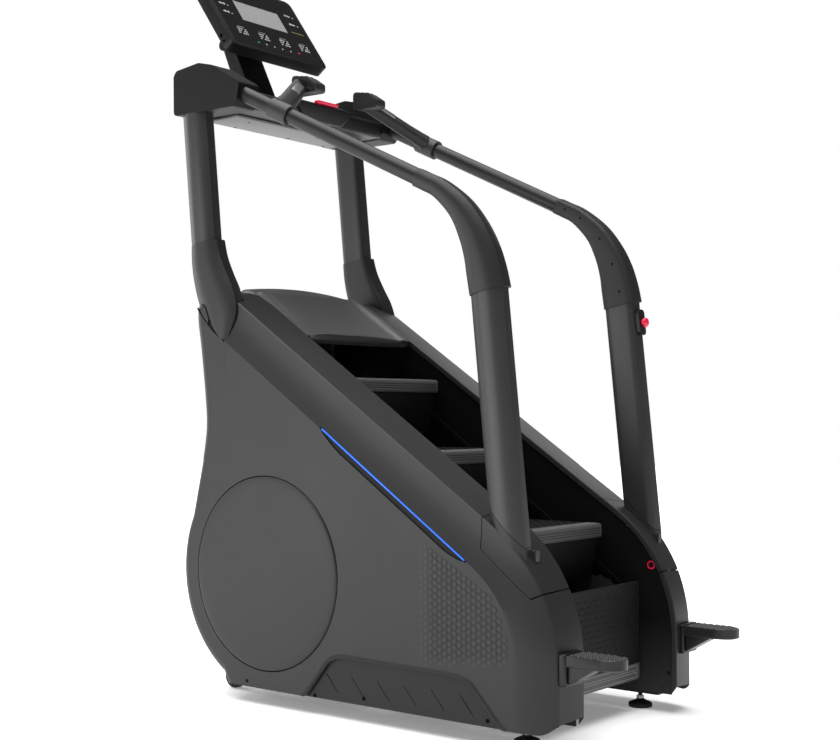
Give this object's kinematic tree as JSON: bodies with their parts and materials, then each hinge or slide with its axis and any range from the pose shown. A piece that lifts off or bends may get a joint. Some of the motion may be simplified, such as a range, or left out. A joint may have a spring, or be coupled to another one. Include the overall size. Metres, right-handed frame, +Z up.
{
  "type": "stair climber",
  "caption": "Revolving-staircase exercise machine with covered side frames, leaning posts, sloped handrails with grips, and a tilting console.",
  "frame": {"origin": "middle of the machine's footprint, on the floor", "axes": "+Z up, +Y the way the user faces (towards the console), +X to the user's right"},
  "size_m": [0.7264, 1.5442, 2.0898],
  "materials": {
    "charcoal": "matte",
    "dark": "matte",
    "black": "satin",
    "inner": "matte",
    "paint": "satin powder coat",
    "rail": "satin",
    "steel": "brushed",
    "plate": "matte",
    "tread": "textured matte",
    "peg": "satin",
    "grip": "matte",
    "gloss": "gloss",
    "rubber": "matte",
    "red": "gloss",
    "blue": "lit"
  },
  "bodies": {
    "frame": {"base_frame": "paint", "brake_unit": "paint", "console_mast": "dark", "dash_bottom_plate": "plate", "dash_tray": "dark", "hood": "charcoal", "left_chain": "steel", "left_corner_box": "charcoal", "left_disc_cover": "charcoal", "left_footpeg": "peg", "left_front_foot": "rubber", "left_front_post": "paint", "left_front_sleeve": "charcoal", "left_grip": "grip", "left_handrail": "rail", "left_inner_panel": "inner", "left_led_strip": "blue", "left_peg_bracket": "black", "left_post_base_cover": "charcoal", "left_pulse_plate": "steel", "left_rear_post": "paint", "left_rear_sleeve": "charcoal", "left_side_cover": "charcoal", "power_inlet": "black", "rear_cover": "charcoal", "right_chain": "steel", "right_corner_box": "charcoal", "right_disc_cover": "charcoal", "right_footpeg": "peg", "right_front_foot": "rubber", "right_front_post": "paint", "right_front_sleeve": "charcoal", "right_grip": "grip", "right_handrail": "rail", "right_inner_panel": "inner", "right_led_strip": "blue", "right_peg_bracket": "black", "right_post_base_cover": "charcoal", "right_pulse_plate": "steel", "right_rear_post": "paint", "right_rear_sleeve": "charcoal", "right_side_cover": "charcoal", "standby_button": "red", "stop_housing": "black"},
    "upper_steps": {"step_1": "tread", "step_2": "tread", "step_3": "tread"},
    "front_step": {"step_4": "tread"},
    "return_steps": {"step_5": "tread", "step_6": "tread"},
    "top_step": {"step_7": "tread"},
    "drive_shaft": {"drive_shaft": "steel"},
    "idler_shaft": {"idler_shaft": "steel"},
    "flywheel": {"flywheel": "steel"},
    "console": {"console_shell": "charcoal", "console_face": "gloss"},
    "stop_button": {"stop_button": "red"},
    "safety_key": {"safety_key": "red"},
    "left_wheel": {"left_wheel": "rubber"},
    "right_wheel": {"right_wheel": "rubber"}
  },
  "joints": [
    {"name": "upper_run", "type": "slide", "parent": "frame", "child": "upper_steps", "axis": [0, -0.8176, -0.5758], "range_m": [0, 0.165]},
    {"name": "lower_turn", "type": "hinge", "parent": "frame", "child": "front_step", "pos_m": [0, -0.39048, 0.2476], "axis": [1, 0, 0], "range_deg": [0, 88.6]},
    {"name": "return_run", "type": "slide", "parent": "frame", "child": "return_steps", "axis": [0, 0.8176, 0.5758], "range_m": [0, 0.165]},
    {"name": "upper_turn", "type": "hinge", "parent": "frame", "child": "top_step", "pos_m": [0, 0.29827, 0.7326], "axis": [1, 0, 0], "range_deg": [0, 88.6]},
    {"name": "drive_turn", "type": "hinge", "parent": "frame", "child": "drive_shaft", "pos_m": [0, 0.29827, 0.7326], "axis": [1, 0, 0], "range_deg": [0, 88.6]},
    {"name": "idler_turn", "type": "hinge", "parent": "frame", "child": "idler_shaft", "pos_m": [0, -0.39048, 0.2476], "axis": [1, 0, 0], "range_deg": [0, 88.6]},
    {"name": "flywheel_turn", "type": "hinge", "parent": "frame", "child": "flywheel", "pos_m": [0, 0.20392, 0.33], "axis": [1, 0, 0], "range_deg": [0, 177.3]},
    {"name": "console_tilt", "type": "hinge", "parent": "frame", "child": "console", "pos_m": [0, 0.74917, 1.89979], "axis": [1, 0, 0], "range_deg": [-8, 8]},
    {"name": "stop_press", "type": "slide", "parent": "frame", "child": "stop_button", "axis": [0, 1, 0], "range_m": [0, 0.003], "stiffness_N_per_m": 500},
    {"name": "safety_key_pull", "type": "slide", "parent": "frame", "child": "safety_key", "axis": [0, 0, 1], "range_m": [0, 0.05]},
    {"name": "left_wheel_roll", "type": "hinge", "parent": "frame", "child": "left_wheel", "pos_m": [-0.225, 0.52392, 0.033], "axis": [1, 0, 0], "continuous": true},
    {"name": "right_wheel_roll", "type": "hinge", "parent": "frame", "child": "right_wheel", "pos_m": [0.225, 0.52392, 0.033], "axis": [1, 0, 0], "continuous": true}
  ],
  "couplings": [
    {"joint": "lower_turn", "follows": "upper_run", "rad_per_m": 9.3236},
    {"joint": "return_run", "follows": "upper_run", "ratio": 1},
    {"joint": "upper_turn", "follows": "upper_run", "rad_per_m": 9.3236},
    {"joint": "drive_turn", "follows": "upper_run", "rad_per_m": 9.3236},
    {"joint": "idler_turn", "follows": "upper_run", "rad_per_m": 9.3236},
    {"joint": "flywheel_turn", "follows": "upper_run", "rad_per_m": 18.647}
  ]
}
